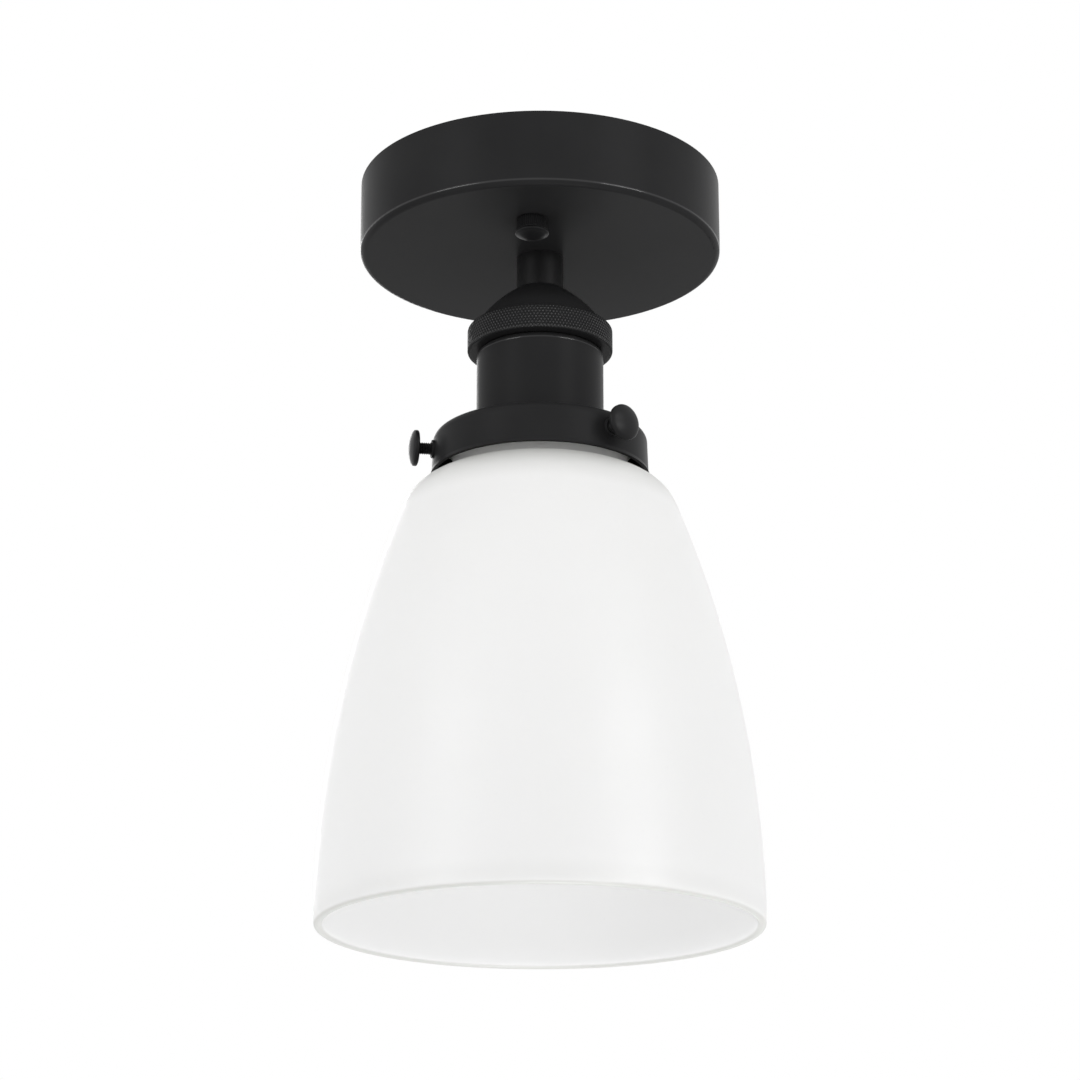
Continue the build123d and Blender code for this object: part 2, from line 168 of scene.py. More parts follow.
class RidgeSizes(bpy.types.PropertyGroup):
    """Knurls and threads"""

    collar_ridges: count("Collar ridges", "Knurl ridges round the collar", 132)
    collar_depth: size("Collar depth", "Depth of the collar's knurl", 0.00028)
    collar_pitch: size("Collar pitch", "Height of one diamond of the knurl", 0.00190)
    nut_ridges: count("Nut ridges", "Knurl ridges round each cap nut", 46)
    nut_depth: size("Nut depth", "Depth of the cap nuts' knurl", 0.00020)
    thumb_pitch: size("Thumb pitch", "Pitch of the thumb screws' thread", 0.00070)
    thumb_depth: size("Thumb depth", "Depth of the thumb screws' thread", 0.00030)
    stud_pitch: size("Stud pitch", "Pitch of the studs' thread", 0.00070)
    stud_depth: size("Stud depth", "Depth of the studs' thread", 0.00036)
    nipple_bore: size("Nipple bore", "Radius of the wire way in the nipple", 0.0037)
    nipple_pitch: size("Nipple pitch", "Pitch of the nipple's thread", 0.00100)
    nipple_depth: size("Nipple depth", "Depth of the nipple's thread", 0.00050)
    lamp_pitch: size("Lamp pitch", "Pitch of the thread rolled into the brass shell", 0.00363)
    lamp_depth: size("Lamp depth", "Depth of the rolled thread", 0.00070)


class FinishColours(bpy.types.PropertyGroup):
    """Colours of the finishes"""

    satin_black: colour("Satin black", "Powder coat", (0.0216, 0.0216, 0.0222, 1.0))
    gloss_black: colour("Gloss black", "Enamel on the stem", (0.0080, 0.0080, 0.0084, 1.0))
    black_screws: colour("Black screws", "Blackened metal", (0.0110, 0.0110, 0.0115, 1.0))
    opal: colour("Opal", "White of the glass", (0.964, 0.963, 0.957, 1.0))
    # Painted shade: a darker tone for the bell's rim, the outside just above it, the shoulder under the
    # holder and the neck
    glass_painted_shade: colour("Glass ends", "Rim, shoulder and neck of the bell", (0.600, 0.602, 0.582, 1.0))
    zinc: colour("Zinc", "Plating on the bar, studs and nuts", (0.600, 0.610, 0.620, 1.0))
    bright_zinc: colour("Bright zinc", "Brightest patches of that plating", (0.660, 0.655, 0.630, 1.0))
    green: colour("Green zinc", "Dyed plating on the earth screw", (0.050, 0.280, 0.100, 1.0))
    bright_green: colour("Bright green", "Brightest patches of it", (0.090, 0.360, 0.130, 1.0))
    brass: colour("Brass", "Shell, contact and terminals", (0.720, 0.530, 0.240, 1.0))
    tarnish: colour("Tarnish", "Darkest patches of the brass", (0.460, 0.310, 0.120, 1.0))
    ceramic: colour("Ceramic", "Glazed body of the lamp socket", (0.860, 0.850, 0.810, 1.0))
    speck: colour("Speck", "Specks in the glaze", (0.420, 0.380, 0.320, 1.0))
    plastic: colour("Plastic", "Moulded ring under the holder", (0.022, 0.022, 0.022, 1.0))


class StudioSettings(bpy.types.PropertyGroup):
    """Camera and light"""

    camera_place: FloatVectorProperty(
        name="Camera place", description="Where the camera stands", size=3,
        default=(0.0752, -0.9347, -0.4327), subtype="TRANSLATION", unit="LENGTH")
    camera_turn: FloatVectorProperty(
        name="Camera turn", description="Tilt up and turn to the left", size=2,
        default=(math.radians(18.222), math.radians(4.6)), unit="ROTATION")
    lens: FloatProperty(name="Lens", description="Focal length", default=101.6, min=1.0,
                        subtype="DISTANCE_CAMERA", unit="CAMERA")
    floor_level: FloatProperty(name="Floor level", description="Level of the floor", default=-2.20,
                               subtype="DISTANCE", unit="LENGTH")
    floor_colour: colour("Floor", "Colour of the floor", (0.94, 0.94, 0.94, 1.0))
    floor_glow: colour("Floor glow", "Glow that whitens the far floor", (0.34, 0.34, 0.34, 1.0))
    surround: fraction("Surround", "Strength of the white room's light", 0.70)
    key_power: power("Key light", "Power of the soft light on the right", 11.2)
    fill_power: power("Fill light", "Power of the soft light on the left", 7.6)
    back_power: power("Back light", "Power of the soft light behind", 5.6)
    under_power: power("Under light", "Power of the soft light below the bell", 1.35)


# Nodes written as Python

class Wire:
    """A node's output that can stand in sums, each of which adds a Math node."""

    def __init__(self, nodes, socket):
        self.nodes = nodes
        self.socket = socket

    def maths(self, operation, *values):
        return self.nodes.add("ShaderNodeMath", {"operation": operation}, dict(enumerate(values)))

    def __add__(self, other):
        return self.maths("ADD", self, other)

    def __radd__(self, other):
        return self.maths("ADD", other, self)

    def __sub__(self, other):
        return self.maths("SUBTRACT", self, other)

    def __rsub__(self, other):
        return self.maths("SUBTRACT", other, self)

    def __mul__(self, other):
        return self.maths("MULTIPLY", self, other)

    def __rmul__(self, other):
        return self.maths("MULTIPLY", other, self)

    def __truediv__(self, other):
        return self.maths("DIVIDE", self, other)

    def __rtruediv__(self, other):
        return self.maths("DIVIDE", other, self)

    def __gt__(self, other):
        return self.maths("GREATER_THAN", self, other)

    def __lt__(self, other):
        return self.maths("LESS_THAN", self, other)

    def least(self, other):
        return self.maths("MINIMUM", self, other)

    def most(self, other):
        return self.maths("MAXIMUM", self, other)

    def zigzag(self):
        """Straight-sided wave between 0 and 1 that repeats at each whole number."""
        return self.maths("PINGPONG", self, 0.5) * 2

    def climb(self, start, end):
        """Smooth climb from 0 to 1 between two values."""
        return self.nodes.add("ShaderNodeMapRange", {"interpolation_type": "SMOOTHSTEP"},
                              {"Value": self, "From Min": start, "From Max": end})


class Nodes:
    """Adds nodes to one tree."""

    def __init__(self, tree):
        self.tree = tree

    def add(self, kind, settings=None, inputs=None, output=0):
        """Add a node: its settings first, then values or links for its sockets by name or number."""
        node = self.tree.nodes.new(kind)
        for key, value in (settings or {}).items():
            setattr(node, key, value)
        for key, value in (inputs or {}).items():
            if isinstance(value, Wire):
                self.tree.links.new(value.socket, node.inputs[key])
            else:
                node.inputs[key].default_value = value
        return Wire(self, node.outputs[output]) if len(node.outputs) else None

    def given(self, name):
        """One of the tree's own inputs."""
        return self.add("NodeGroupInput", output=name)

    def axis(self, vector, name):
        """One number of a vector."""
        return self.add("ShaderNodeSeparateXYZ", None, {"Vector": vector}, name)

    def across(self, point):
        """Distance of a point from the Z axis."""
        flat = self.stretch(point, (1.0, 1.0, 0.0))
        return self.add("ShaderNodeVectorMath", {"operation": "LENGTH"}, {0: flat}, "Value")

    def noise(self, point, scale, detail):
        return self.add("ShaderNodeTexNoise", None, {"Vector": point, "Scale": scale, "Detail": detail})

    def stretch(self, point, scale):
        """Coordinates scaled along each axis."""
        return self.add("ShaderNodeMapping", None, {"Vector": point, "Scale": scale})

    def blend(self, amount, first, second):
        """Colour between two colours."""
        return self.add("ShaderNodeMix", {"data_type": "RGBA"}, {0: amount, 6: first, 7: second}, 2)

    def on_ring(self, turn, radius, height):
        """Point at a turn about Z, with its radius and height."""
        angle = turn * math.tau
        return self.add("ShaderNodeCombineXYZ", None,
                        {"X": radius * angle.maths("COSINE", angle),
                         "Y": radius * angle.maths("SINE", angle), "Z": height})

    def bump(self, height, strength, distance):
        return self.add("ShaderNodeBump", None,
                        {"Height": height, "Strength": strength, "Distance": distance})

    def surface(self, sockets):
        return self.add("ShaderNodeBsdfPrincipled", None, sockets)


# New objects, meshes and empty trees

def placed(name, data):
    """New object in the scene."""
    thing = bpy.data.objects.new(name, data)
    bpy.context.scene.collection.objects.link(thing)
    return thing


def settled(shape, name):
    """Plain mesh from a bmesh, which is freed."""
    mesh = bpy.data.meshes.new(name)
    shape.to_mesh(mesh)
    shape.free()
    return mesh


def bare_nodes(owner):
    """Nodes of a material or world without its default ones."""
    owner.use_nodes = True
    owner.node_tree.nodes.clear()
    return Nodes(owner.node_tree)


# Finishes

def shade(tone, amount):
    """A colour made lighter or darker."""
    return (tone[0] * amount, tone[1] * amount, tone[2] * amount, 1.0)


# Turned edges that handling has polished: the piece, the end to measure from, and how far from it
RUBBED_EDGES = (
    ("canopy", bottom, 0.0016),
    ("socket_cap", bottom, 0.0005),
    ("socket_body", top, -0.0019),
)
# Distances from such an edge between which its polish fades
RUBBED_FADE = (0.00015, 0.00045)
# Depths below the knurl's crests between which their polish begins and is full
CREST_DEPTHS = (0.00010, 0.00002)


def rubbed_edges(nodes, point):
    """1 on the turned edges and knurl crests that handling has polished, and 0 elsewhere."""
    across = nodes.across(point)
    height = nodes.axis(point, "Z")
    collar = half_width("socket_cap")
    crest = across.climb(collar - CREST_DEPTHS[0], collar - CREST_DEPTHS[1])
    mask = crest * (height > bottom("socket_cap")) * (height < top("socket_cap"))
    for node, end, inset in RUBBED_EDGES:
        out = across - half_width(node)
        away = height - (end(node) + inset)
        gap = out.maths("SQRT", out * out + away * away)
        mask = mask.most(1 - gap.climb(*RUBBED_FADE))
    return mask


def powder_coat(nodes, point, colours):
    """Satin powder coat with a fine grain, polished where it is rubbed."""
    cloud = nodes.noise(point, scale=38.0, detail=3.0)
    grain = nodes.noise(point, scale=2100.0, detail=2.0)
    tone = colours.satin_black
    return nodes.surface({
        "Base Color": nodes.blend(cloud, shade(tone, 0.8), shade(tone, 1.2)),
        "Roughness": 0.29 + 0.08 * cloud + 0.05 * grain,
        "Specular IOR Level": 0.035,
        "Coat Weight": 0.6 * rubbed_edges(nodes, point),
        "Coat Roughness": 0.14,
        "Normal": nodes.bump(grain, strength=0.10, distance=0.00004),
    })


def enamel(nodes, point, colours):
    """Gloss enamel with a slight flow."""
    cloud = nodes.noise(point, scale=55.0, detail=2.0)
    flow = nodes.noise(point, scale=420.0, detail=1.0)
    tone = colours.gloss_black
    return nodes.surface({
        "Base Color": nodes.blend(cloud, shade(tone, 0.85), shade(tone, 1.15)),
        "Roughness": 0.28 + 0.06 * cloud,
        "Specular IOR Level": 0.60,
        "Normal": nodes.bump(flow, strength=0.05, distance=0.00006),
    })


def blackened_metal(nodes, point, colours):
    """Blackened metal with clouds and a fine grain."""
    cloud = nodes.noise(point, scale=130.0, detail=3.0)
    grain = nodes.noise(point, scale=3200.0, detail=2.0)
    tone = colours.black_screws
    return nodes.surface({
        "Base Color": nodes.blend(cloud, shade(tone, 0.75), shade(tone, 1.3)),
        "Roughness": 0.26 + 0.12 * cloud + 0.05 * grain,
        "Specular IOR Level": 0.14,
        "Normal": nodes.bump(grain, strength=0.08, distance=0.00003),
    })


# Levels between which the bell gets painted shade, a darker surface that lets no light through, above
# its rim and below the holder, in metres
RIM_BAND = (0.0003, 0.0013)
FRINGE_BAND = (0.0, 0.0100)
SHOULDER_BAND = (0.0170, 0.0030)
NECK_BAND = (0.0018, 0.0008)
# Share of that painted shade that the fringe outside above the rim has, and that the neck loses
FRINGE_SHARE = 0.25
NECK_LOSS = 0.5
# Half the glass thickness, which tells the outside from the inside near the rim
HALF_GLASS = 0.0015


def opal_glass(nodes, point, colours):
    """Opal glass that lets light through its wall, with painted shade at its rim, the outside just
    above the rim, its shoulder and its neck.
    """
    cloud = nodes.noise(point, scale=21.0, detail=3.0)
    draw = nodes.noise(nodes.stretch(point, (1.0, 1.0, 0.22)), scale=64.0, detail=2.0)
    seeds = nodes.noise(point, scale=900.0, detail=1.0).climb(0.72, 0.78)
    tone = colours.opal
    body = nodes.blend(cloud, shade(tone, 0.985), shade(tone, 1.010))
    height = nodes.axis(point, "Z")
    rim = bottom("glass_shade")
    holder = bottom("shade_holder")
    shoulder = height.climb(*(holder - drop for drop in SHOULDER_BAND))
    neck = height.climb(*(holder - drop for drop in NECK_BAND))
    outside = nodes.across(point) > half_width("glass_shade") - HALF_GLASS
    fringe = outside * (1 - height.climb(*(rim + rise for rise in FRINGE_BAND)))
    above_rim = height.climb(*(rim + rise for rise in RIM_BAND))
    # 1 where the wall lets light through, less where painted shade darkens the rim, the fringe outside
    # above it, the shoulder and the neck
    unshaded_share = above_rim * (1 - FRINGE_SHARE * fringe) * (1 - shoulder * (1 - NECK_LOSS * neck))
    gloss = {
        "Roughness": 0.36 + 0.08 * draw,
        "Specular IOR Level": 0.5,
        "Coat Weight": 0.05,
        "Coat Roughness": 0.16,
        "Normal": nodes.bump(draw, strength=0.02, distance=0.0006),
    }
    wall = nodes.surface({
        "Base Color": nodes.blend(seeds * 0.35, body, shade(tone, 0.93)),
        "Subsurface Weight": 1.0,
        "Subsurface Radius": (0.0250, 0.0250, 0.0250),
        "Subsurface Scale": 1.0,
        **gloss,
    })
    # Painted shade: a darker surface without light through it for the rim, the fringe, the shoulder and
    # the neck
    ends = nodes.surface({"Base Color": colours.glass_painted_shade, **gloss})
    return nodes.add("ShaderNodeMixShader", None, {0: unshaded_share, 1: ends, 2: wall})


def plate(nodes, point, tone, bright):
    """Zinc plate with rolling lines along Y, blotches and fine pits."""
    lines = nodes.noise(nodes.stretch(point, (1.0, 0.04, 1.0)), scale=2400.0, detail=3.0)
    cloud = nodes.noise(point, scale=85.0, detail=4.0)
    pits = nodes.noise(point, scale=1500.0, detail=1.0).climb(0.66, 0.74)
    return nodes.surface({
        "Base Color": nodes.blend(cloud, shade(tone, 0.82), bright),
        "Metallic": 1.0,
        "Roughness": 0.27 + 0.16 * cloud + 0.08 * lines + 0.15 * pits,
        "Normal": nodes.bump(lines - 0.6 * pits, strength=0.16, distance=0.00004),
    })


def zinc_plate(nodes, point, colours):
    return plate(nodes, point, colours.zinc, colours.bright_zinc)


def green_plate(nodes, point, colours):
    return plate(nodes, point, colours.green, colours.bright_green)


def brass(nodes, point, colours):
    """Plain brass with fine lines and patches of tarnish."""
    cloud = nodes.noise(point, scale=140.0, detail=4.0)
    lines = nodes.noise(nodes.stretch(point, (1.0, 1.0, 6.0)), scale=900.0, detail=2.0)
    tarnish = nodes.noise(point, scale=60.0, detail=3.0).climb(0.52, 0.75)
    tone = colours.brass
    clean = nodes.blend(cloud, shade(tone, 0.88), shade(tone, 1.08))
    return nodes.surface({
        "Base Color": nodes.blend(tarnish * 0.4, clean, colours.tarnish),
        "Metallic": 1.0,
        "Roughness": 0.22 + 0.10 * cloud + 0.18 * tarnish,
        "Normal": nodes.bump(lines, strength=0.08, distance=0.00003),
    })


def glazed_ceramic(nodes, point, colours):
    """White glaze with a slight ripple and a few specks."""
    cloud = nodes.noise(point, scale=70.0, detail=3.0)
    ripple = nodes.noise(point, scale=300.0, detail=2.0)
    specks = nodes.noise(point, scale=1300.0, detail=1.0).climb(0.73, 0.77)
    tone = colours.ceramic
    body = nodes.blend(cloud, shade(tone, 0.94), shade(tone, 1.04))
    return nodes.surface({
        "Base Color": nodes.blend(specks * 0.5, body, colours.speck),
        "Roughness": 0.14 + 0.10 * ripple,
        "Specular IOR Level": 0.5,
        "Normal": nodes.bump(ripple, strength=0.07, distance=0.0002),
    })


def moulded_plastic(nodes, point, colours):
    """Black plastic with flow marks and a fine moulded grain."""
    grain = nodes.noise(point, scale=1800.0, detail=2.0)
    flow = nodes.noise(nodes.stretch(point, (1.0, 1.0, 0.3)), scale=120.0, detail=3.0)
    tone = colours.plastic
    return nodes.surface({
        "Base Color": nodes.blend(flow, shade(tone, 0.85), shade(tone, 1.2)),
        "Roughness": 0.36 + 0.12 * flow,
        "Specular IOR Level": 0.4,
        "Normal": nodes.bump(grain, strength=0.12, distance=0.00005),
    })


FINISHES = {
    "satin_black": powder_coat,
    "gloss_black": enamel,
    "black_screws": blackened_metal,
    "opal_glass": opal_glass,
    "zinc_steel": zinc_plate,
    "green_zinc": green_plate,
    "socket_brass": brass,
    "socket_ceramic": glazed_ceramic,
    "ring_plastic": moulded_plastic,
}


def finish(slot):
    """The material of a record slot, made on first use."""
    name = "light_" + slot
    material = bpy.data.materials.get(name)
    if material is None:
        material = bpy.data.materials.new(name)
        nodes = bare_nodes(material)
        point = nodes.add("ShaderNodeTexCoord", output="Object")
        surface = FINISHES[slot](nodes, point, bpy.context.scene.light_colours)
        nodes.add("ShaderNodeOutputMaterial", None, {"Surface": surface})
    return material


# Geometry Nodes trees

# Points of a wrapped grid that lie closer than this are merged, in metres
SEAM_GAP = 1e-7
# How coarse a blown wall's wobble is round the axis, and how much faster it changes with height
WOBBLE_SCALE = 1.1
WOBBLE_CLIMB = 9.0


def new_tree(name, sockets):
    """Empty tree with one geometry output and these named inputs."""
    tree = bpy.data.node_groups.new(name, "GeometryNodeTree")
    tree.interface.new_socket("Geometry", in_out="OUTPUT", socket_type="NodeSocketGeometry")
    for label, kind in sockets.items():
        tree.interface.new_socket(label, in_out="INPUT", socket_type="NodeSocket" + kind)
    return tree


def close_tree(nodes, geometry):
    """End a tree in real geometry with the material that it was given."""
    real = nodes.add("GeometryNodeRealizeInstances", None, {"Geometry": geometry})
    painted = nodes.add("GeometryNodeSetMaterial", None,
                        {"Geometry": real, "Material": nodes.given("Material")})
    nodes.add("NodeGroupOutput", None, {"Geometry": painted})


def wrap(nodes, columns, rows, outline):
    """Grid wrapped about Z; outline gives its radius and height from the turn and the row."""
    grid = nodes.add("GeometryNodeMeshGrid", None,
                     {"Size X": 1.0, "Size Y": 1.0, "Vertices X": columns + 1, "Vertices Y": rows})
    flat = nodes.add("GeometryNodeInputPosition")
    turn = nodes.axis(flat, "X") + 0.5
    row = (nodes.axis(flat, "Y") + 0.5) * (rows - 1)
    radius, height = outline(turn, row)
    place = nodes.on_ring(turn, radius, height)
    wrapped = nodes.add("GeometryNodeSetPosition", None, {"Geometry": grid, "Position": place})
    return nodes.add("GeometryNodeMergeByDistance", None, {"Geometry": wrapped, "Distance": SEAM_GAP})


def turned_tree(name):
    """Turns the outline in the object's own mesh about Z, one row for each of its points."""
    tree = new_tree(name, {
        "Outline": "Geometry", "Columns": "Int", "Wobble": "Float", "Material": "Material"})
    nodes = Nodes(tree)
    source = nodes.given("Outline")
    rows = nodes.add("GeometryNodeAttributeDomainSize", None, {"Geometry": source}, "Point Count")

    def outline(turn, row):
        point = nodes.add("GeometryNodeSampleIndex", {"data_type": "FLOAT_VECTOR"},
                          {"Geometry": source, "Value": nodes.add("GeometryNodeInputPosition"),
                           "Index": row.maths("ROUND", row)})
        radius = nodes.axis(point, "X")
        height = nodes.axis(point, "Z")
        round_about = nodes.on_ring(turn, 1.0, height * WOBBLE_CLIMB)
        stray = nodes.noise(round_about, scale=WOBBLE_SCALE, detail=1.0) * nodes.given("Wobble")
        return radius * (1 - stray), height

    close_tree(nodes, wrap(nodes, nodes.given("Columns"), rows, outline))
    return tree


def ridged_tree(name):
    """A ring or rod whose side carries a thread or a knurl, standing down from the origin."""
    tree = new_tree(name, {
        "Radius": "Float", "Bore": "Float", "Length": "Float", "Edge": "Float", "Far Edge": "Float",
        "Depth": "Float", "Pitch": "Float", "Starts": "Float", "Crossing": "Float", "Flat": "Float",
        "Roundness": "Float", "Columns": "Int", "Rows": "Int", "Material": "Material"})
    nodes = Nodes(tree)
    rows = nodes.given("Rows")

    # Three more rows close the ring: the two ends of its bore, and the start of its side again
    def outline(turn, row):
        length = nodes.given("Length")
        climbing = row > rows + 0.5
        along = length * (row / (rows - 1)).least(1.0) * (1 - climbing)
        slant = along / nodes.given("Pitch")
        start = turn * nodes.given("Starts")
        groove = (slant + start).zigzag().most((slant - start).zigzag() * nodes.given("Crossing"))
        flat = nodes.given("Flat")
        groove = ((groove - flat) / (1 - flat)).most(0.0)
        soft = groove * groove * (3 - 2 * groove)
        groove = groove + (soft - groove) * nodes.given("Roundness")
        drop = 0.0
        for edge, reach in (("Edge", along), ("Far Edge", length - along)):
            near = (1 - reach / nodes.given(edge)).most(0.0)
            drop = drop + nodes.given(edge) * (1 - near.maths("SQRT", 1 - near * near))
        side = nodes.given("Radius") - drop - nodes.given("Depth") * groove
        inside = (row > rows - 0.5) * (row < rows + 1.5)
        return side + (nodes.given("Bore") - side) * inside, along * -1.0

    close_tree(nodes, wrap(nodes, nodes.given("Columns"), rows + 3, outline))
    return tree


def copies_tree(name):
    """Copies of the object's own mesh, set out in a straight row."""
    tree = new_tree(name, {
        "Shape": "Geometry", "Count": "Int", "First": "Vector", "Step": "Vector",
        "Material": "Material"})
    nodes = Nodes(tree)
    line = nodes.add("GeometryNodeMeshLine", {"mode": "OFFSET"},
                     {"Count": nodes.given("Count"), "Start Location": nodes.given("First"),
                      "Offset": nodes.given("Step")})
    close_tree(nodes, nodes.add("GeometryNodeInstanceOnPoints", None,
                                {"Points": line, "Instance": nodes.given("Shape")}))
    return tree


TREES = {"Turned outline": turned_tree, "Ridged side": ridged_tree, "Row of copies": copies_tree}


def made(name, slot, values, source=None):
    """Run a tree with these inputs on a source mesh and return the result as a plain mesh."""
    tree = bpy.data.node_groups.get(name) or TREES[name](name)
    carrier = placed(name, source or bpy.data.meshes.new(name))
    modifier = carrier.modifiers.new(name, "NODES")
    modifier.node_group = tree
    values = dict(values, Material=finish(slot))
    for socket in tree.interface.items_tree:
        if socket.in_out == "INPUT" and socket.name in values:
            modifier[socket.identifier] = values[socket.name]
    return plain_mesh(carrier)


def plain_mesh(carrier):
    """The evaluated mesh of a helper object, which is then removed with its modifiers."""
    depsgraph = bpy.context.evaluated_depsgraph_get()
    mesh = bpy.data.meshes.new_from_object(carrier.evaluated_get(depsgraph), depsgraph=depsgraph)
    carrier.modifiers.clear()
    bpy.data.objects.remove(carrier)
    return mesh


# Outlines of turned pieces, as (radius, height) points

def arc(start, end, radius, steps):
    """Arc between two points, bulging to the left of the way there if radius is positive."""
    start = Vector(start)
    end = Vector(end)
    chord = end - start
    left = Vector((-chord.y, chord.x)).normalized()
    rise = math.sqrt(max(radius ** 2 - chord.length_squared / 4, 0.0))
    centre = (start + end) / 2 - left * math.copysign(rise, radius)
    first = math.atan2(start.y - centre.y, start.x - centre.x)
    last = math.atan2(end.y - centre.y, end.x - centre.x)
    turn = (last - first) % math.tau if radius < 0 else -((first - last) % math.tau)
    points = []
    for step in range(steps + 1):
        angle = first + turn * step / steps
        spoke = Vector((math.cos(angle), math.sin(angle))) * abs(radius)
        points.append(tuple(centre + spoke))
    return points


def rounded(corners, steps=5):
    """Outline through (radius, height, rounding) corners."""
    points = []
    for place, (across, height, rounding) in enumerate(corners):
        if rounding == 0.0:
            points.append((across, height))
            continue
        here = Vector((across, height))
        back = (Vector(corners[place - 1][:2]) - here).normalized()
        ahead = (Vector(corners[place + 1][:2]) - here).normalized()
        reach = rounding / math.tan(back.angle(ahead) / 2)
        side = back.x * ahead.y - back.y * ahead.x
        points += arc(here + back * reach, here + ahead * reach, math.copysign(rounding, side), steps)
    return points


# Meshes of the like parts

# Place of a mesh that stays where it was made
STILL = Matrix.Identity(4)
# Rows in one turn of a thread, and columns across one ridge of a knurl
THREAD_ROWS = 8
KNURL_COLUMNS = 8
# A knurl's flat crests as a share of its waves, and how rounded its flanks are
KNURL_FLAT = 0.4
KNURL_ROUNDNESS = 0.3
# Pitch so long that a knurl runs straight
STRAIGHT = 1000.0
# A screw's domed head: the dome, the cross recess's reach and its depth as shares of the head
PAN_DOME = 0.6
RECESS_REACH = 0.56
RECESS_DEPTH = 0.55
# Width of a recess's blades in metres, and how far they narrow
RECESS_WIDTH = 0.0011
RECESS_TAPER = 0.55
# Faces that meet at more than this keep a sharp edge
SHARP_ANGLE = math.radians(38.0)


def lifted(height):
    """Place on the Z axis at a height."""
    return Matrix.Translation((0.0, 0.0, height))


def joined(parts):
    """One clean mesh from meshes and their places."""
    shape = bmesh.new()
    for mesh, place in parts:
        mesh.transform(place)
        shape.from_mesh(mesh)
        bpy.data.meshes.remove(mesh)
    loose = [edge for edge in shape.edges if edge.is_wire]
    bmesh.ops.delete(shape, geom=loose, context="EDGES")
    bmesh.ops.recalc_face_normals(shape, faces=shape.faces)
    return settled(shape, "joined")


def turned(slot, outline, columns=96, wobble=0.0):
    """Mesh turned from an outline."""
    source = bpy.data.meshes.new("outline")
    source.from_pydata([(across, 0.0, height) for across, height in outline],
                       [(place, place + 1) for place in range(len(outline) - 1)], [])
    return made("Turned outline", slot, {"Columns": columns, "Wobble": wobble}, source)


def threaded(slot, radius, length, pitch, depth, bore=0.0, columns=36):
    """Mesh of a threaded rod or tube that stands down from the origin."""
    return made("Ridged side", slot, {
        "Radius": radius, "Bore": bore, "Length": length, "Edge": depth, "Far Edge": depth,
        "Depth": depth, "Pitch": pitch, "Starts": 1.0, "Crossing": 0.0, "Flat": 0.0,
        "Roundness": 0.0, "Columns": columns, "Rows": int(THREAD_ROWS * length / pitch)})


def knurled(slot, radius, bore, length, edges, depth, pitch, ridges, crossing, rows):
    """Mesh of a knurled ring that stands down from the origin."""
    return made("Ridged side", slot, {
        "Radius": radius, "Bore": bore, "Length": length, "Edge": edges[0], "Far Edge": edges[1],
        "Depth": depth, "Pitch": pitch, "Starts": float(ridges), "Crossing": crossing,
        "Flat": KNURL_FLAT, "Roundness": KNURL_ROUNDNESS, "Columns": ridges * KNURL_COLUMNS,
        "Rows": rows})


def cross_recess(mesh, radius, depth):
    """Cut a cross recess into the top of a head that stands on the origin."""
    cutter = bmesh.new()
    for turn in (0.0, math.pi / 2):
        blade = bmesh.ops.create_cube(cutter, size=1.0)["verts"]
        for corner in blade:
            taper = RECESS_TAPER if corner.co.z < 0 else 1.0
            corner.co = Vector((corner.co.x * 2 * radius * taper, corner.co.y * RECESS_WIDTH,
                                corner.co.z * 2 * depth))
        bmesh.ops.rotate(cutter, verts=blade, cent=(0, 0, 0), matrix=Matrix.Rotation(turn, 3, "Z"))
    high = max(vertex.co.z for vertex in mesh.vertices)
    bmesh.ops.translate(cutter, verts=cutter.verts, vec=(0.0, 0.0, high))
    tool = placed("recess", settled(cutter, "recess"))
    head = placed("head", mesh)
    boolean = head.modifiers.new("recess", "BOOLEAN")
    boolean.operation = "DIFFERENCE"
    boolean.solver = "EXACT"
    boolean.use_self = True
    boolean.object = tool
    cut = plain_mesh(head)
    bpy.data.objects.remove(tool)
    return cut


def pan_screw(slot, head_radius, head_height, shank, length, pitch, depth):
    """Screw whose head stands on the origin, with its threaded shank pointing down."""
    dome = head_height * PAN_DOME
    outline = rounded([(0.0, 0.0, 0.0), (head_radius, 0.0, 0.0), (head_radius, head_height, dome),
                       (0.0, head_height, 0.0)], steps=8)
    head = cross_recess(turned(slot, outline, columns=48), head_radius * RECESS_REACH,
                        head_height * RECESS_DEPTH)
    rod = threaded(slot, shank, length, pitch, depth, columns=28)
    return joined([(head, STILL), (rod, STILL)])


def piece(name, node, body, slot, mesh):
    """One object that rides on a body and, where a node is named, stands for it."""
    mesh.name = name
    mesh.polygons.foreach_set("use_smooth", [True] * len(mesh.polygons))
    mesh.set_sharp_from_angle(angle=SHARP_ANGLE)
    mesh.materials.clear()
    mesh.materials.append(finish(slot))
    dressed = placed(name, mesh)
    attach(dressed, body)
    if node:
        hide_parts(node)


# Operators

# Pieces that keep their CAD shape, by finish
COATED = {
    "satin_black": ("canopy", "socket_body", "shade_holder"),
    "gloss_black": ("stem_sleeve",),
    "zinc_steel": ("mounting_bar", "stud_lock_nuts", "lock_washer", "nipple_top_nut",
                   "nipple_bottom_nut", "socket_strap", "strap_screws"),
    "socket_brass": ("centre_contact", "terminal_screws"),
    "socket_ceramic": ("socket_insulator",),
    "ring_plastic": ("retaining_ring",),
}


class LIGHT_OT_coats(bpy.types.Operator):
    """Coat the pieces that keep their CAD shape"""

    bl_idname = "light.coats"
    bl_label = "Coats"

    def execute(self, context):
        for slot, nodes in COATED.items():
            for node in nodes:
                materials = frame["nodes"][node].data.materials
                materials.clear()
                materials.append(finish(slot))
        return {"FINISHED"}


